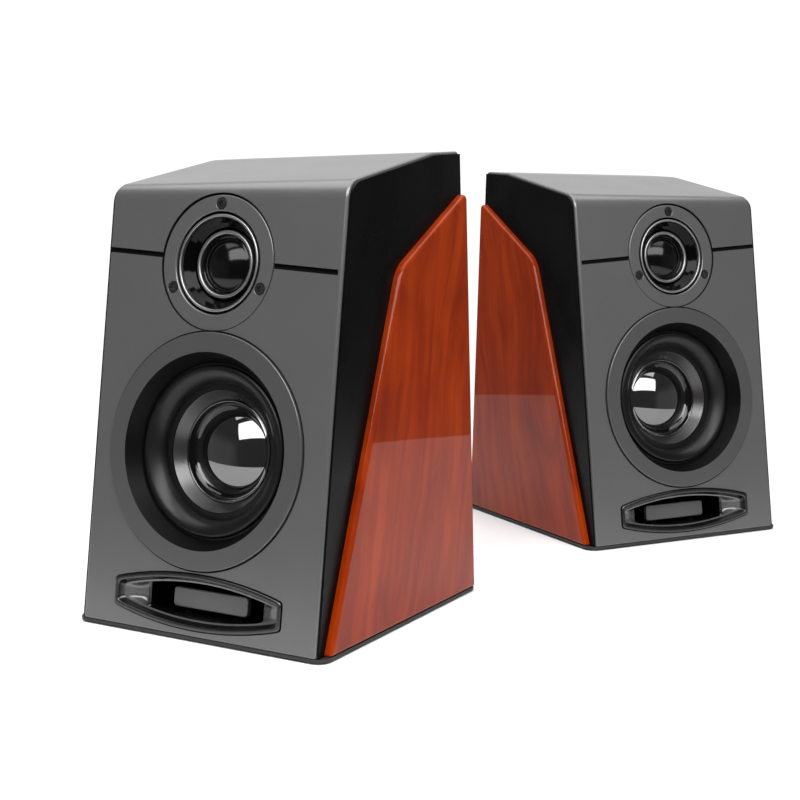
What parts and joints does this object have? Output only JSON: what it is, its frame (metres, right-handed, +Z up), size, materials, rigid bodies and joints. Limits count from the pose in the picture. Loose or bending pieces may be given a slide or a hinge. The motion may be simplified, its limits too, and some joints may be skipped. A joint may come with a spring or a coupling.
{
  "type": "pair of desktop speakers",
  "caption": "Pair of small two-way desktop speakers with sloping fronts, wood side panels, bass ports and a rear volume knob.",
  "frame": {"origin": "on the table top, below the middle of the box round both speakers", "axes": "+Z up; the fronts face -Y, each turned 28 degrees outwards; +X towards the right-hand speaker"},
  "size_m": [0.2958, 0.3144, 0.174],
  "materials": {
    "fascia": "satin gunmetal paint with fine metallic flake",
    "cabinet": "satin black moulding",
    "wood": "red-brown figured veneer under high-gloss lacquer",
    "base": "matte black",
    "foot": "black rubber",
    "screw": "blackened steel",
    "port_trim": "high-gloss black",
    "trim_ring": "satin dark gunmetal",
    "basket": "black enamel",
    "surround": "satin black rubber",
    "cone": "satin black",
    "dust_cap": "mirror-gloss black",
    "coil": "enamelled copper wire",
    "spider": "resin-stiffened weave",
    "magnet": "dark ferrite",
    "pole_steel": "zinc-plated",
    "bright_ring": "bright plated",
    "cup": "gloss black",
    "dome": "mirror-gloss black film",
    "wire": "red PVC insulation",
    "socket": "black nylon",
    "socket_shell": "nickel-plated shell",
    "board": "green solder mask",
    "pot": "plain metal",
    "knob": "satin black"
  },
  "bodies": {
    "left_speaker": {"left_cabinet": "cabinet", "left_fascia": "fascia", "left_top_cover": "fascia", "left_inner_wood_panel": "wood", "left_outer_wood_panel": "wood", "left_back_panel": "cabinet", "left_base_plate": "base", "left_feet": "foot", "left_screws": "screw", "left_port_trim": "port_trim", "left_port_badge": "fascia", "left_woofer_ring": "trim_ring", "left_woofer_basket": "basket", "left_woofer_surround": "surround", "left_woofer_spider": "spider", "left_woofer_magnet": "magnet", "left_woofer_pole_plates": "pole_steel", "left_tweeter_flange": "fascia", "left_tweeter_rings": "bright_ring", "left_tweeter_cup": "cup", "left_tweeter_motor": "pole_steel", "left_wiring": "wire", "left_input_socket": "socket"},
    "left_woofer": {"left_woofer_cone": "cone", "left_woofer_dust_cap": "dust_cap", "left_woofer_voice_coil": "coil"},
    "left_tweeter": {"left_tweeter_dome": "dome"},
    "right_speaker": {"right_cabinet": "cabinet", "right_fascia": "fascia", "right_top_cover": "fascia", "right_inner_wood_panel": "wood", "right_outer_wood_panel": "wood", "right_back_panel": "cabinet", "right_base_plate": "base", "right_feet": "foot", "right_screws": "screw", "right_port_trim": "port_trim", "right_port_badge": "fascia", "right_woofer_ring": "trim_ring", "right_woofer_basket": "basket", "right_woofer_surround": "surround", "right_woofer_spider": "spider", "right_woofer_magnet": "magnet", "right_woofer_pole_plates": "pole_steel", "right_tweeter_flange": "fascia", "right_tweeter_rings": "bright_ring", "right_tweeter_cup": "cup", "right_tweeter_motor": "pole_steel", "right_wiring": "wire", "right_audio_sockets": "socket", "right_usb_socket": "socket_shell", "right_amplifier_board": "board", "right_volume_pot": "pot"},
    "right_woofer": {"right_woofer_cone": "cone", "right_woofer_dust_cap": "dust_cap", "right_woofer_voice_coil": "coil"},
    "right_tweeter": {"right_tweeter_dome": "dome"},
    "volume_control": {"right_volume_shaft": "pot", "right_volume_knob": "knob"}
  },
  "joints": [
    {"name": "right_speaker_placing", "type": "slide", "parent": "left_speaker", "child": "right_speaker", "axis": [1, 0, 0], "range_m": [0, 0.2]},
    {"name": "left_woofer_travel", "type": "slide", "parent": "left_speaker", "child": "left_woofer", "axis": [-0.4646, -0.8737, 0.1444], "range_m": [-0.002, 0.002], "stiffness_N_per_m": 600, "deforming": ["left_woofer_surround", "left_woofer_spider"]},
    {"name": "left_tweeter_travel", "type": "slide", "parent": "left_speaker", "child": "left_tweeter", "axis": [-0.4646, -0.8737, 0.1444], "range_m": [-0.0003, 0.0003], "stiffness_N_per_m": 80},
    {"name": "right_woofer_travel", "type": "slide", "parent": "right_speaker", "child": "right_woofer", "axis": [0.4646, -0.8737, 0.1444], "range_m": [-0.002, 0.002], "stiffness_N_per_m": 600, "deforming": ["right_woofer_surround", "right_woofer_spider"]},
    {"name": "right_tweeter_travel", "type": "slide", "parent": "right_speaker", "child": "right_tweeter", "axis": [0.4646, -0.8737, 0.1444], "range_m": [-0.0003, 0.0003], "stiffness_N_per_m": 80},
    {"name": "volume_turn", "type": "hinge", "parent": "right_speaker", "child": "volume_control", "pos_m": [0.04976, 0.1299, 0.11809], "axis": [-0.4687, 0.8815, 0.0576], "range_deg": [-150, 150]}
  ]
}
